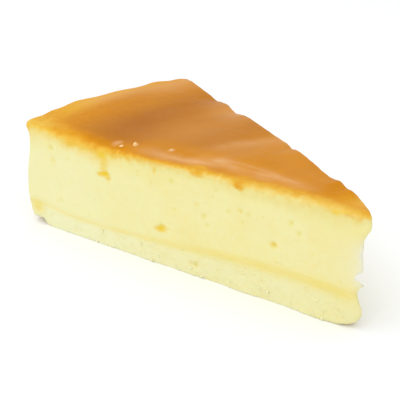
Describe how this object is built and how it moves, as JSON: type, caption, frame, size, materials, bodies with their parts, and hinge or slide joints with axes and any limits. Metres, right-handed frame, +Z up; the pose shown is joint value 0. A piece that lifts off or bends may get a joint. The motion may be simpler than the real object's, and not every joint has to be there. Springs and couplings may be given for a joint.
{
  "type": "slice of baked cheesecake",
  "caption": "Wedge slice of baked cheesecake: set custard with a browned, glazed top on a thin layer of sponge, blunt tip and curved rim.",
  "frame": {"origin": "middle of the underside of the slice's bounding box, on the surface the slice stands on", "axes": "+X along the slice towards its blunt tip, -X towards the curved rim, +Y and -Y towards the two cut faces, +Z up through the browned top"},
  "size_m": [0.1216, 0.0682, 0.036],
  "materials": {
    "custard": "pale yellow baked custard, finely porous, soft and slightly translucent, satin",
    "browned_top": "browned caramel-coloured top skin under a thin clear glaze",
    "sponge": "pale yellow sponge cake, open crumb, matt"
  },
  "bodies": {
    "root": {"custard": "custard", "sponge_base": "sponge"}
  },
  "joints": []
}
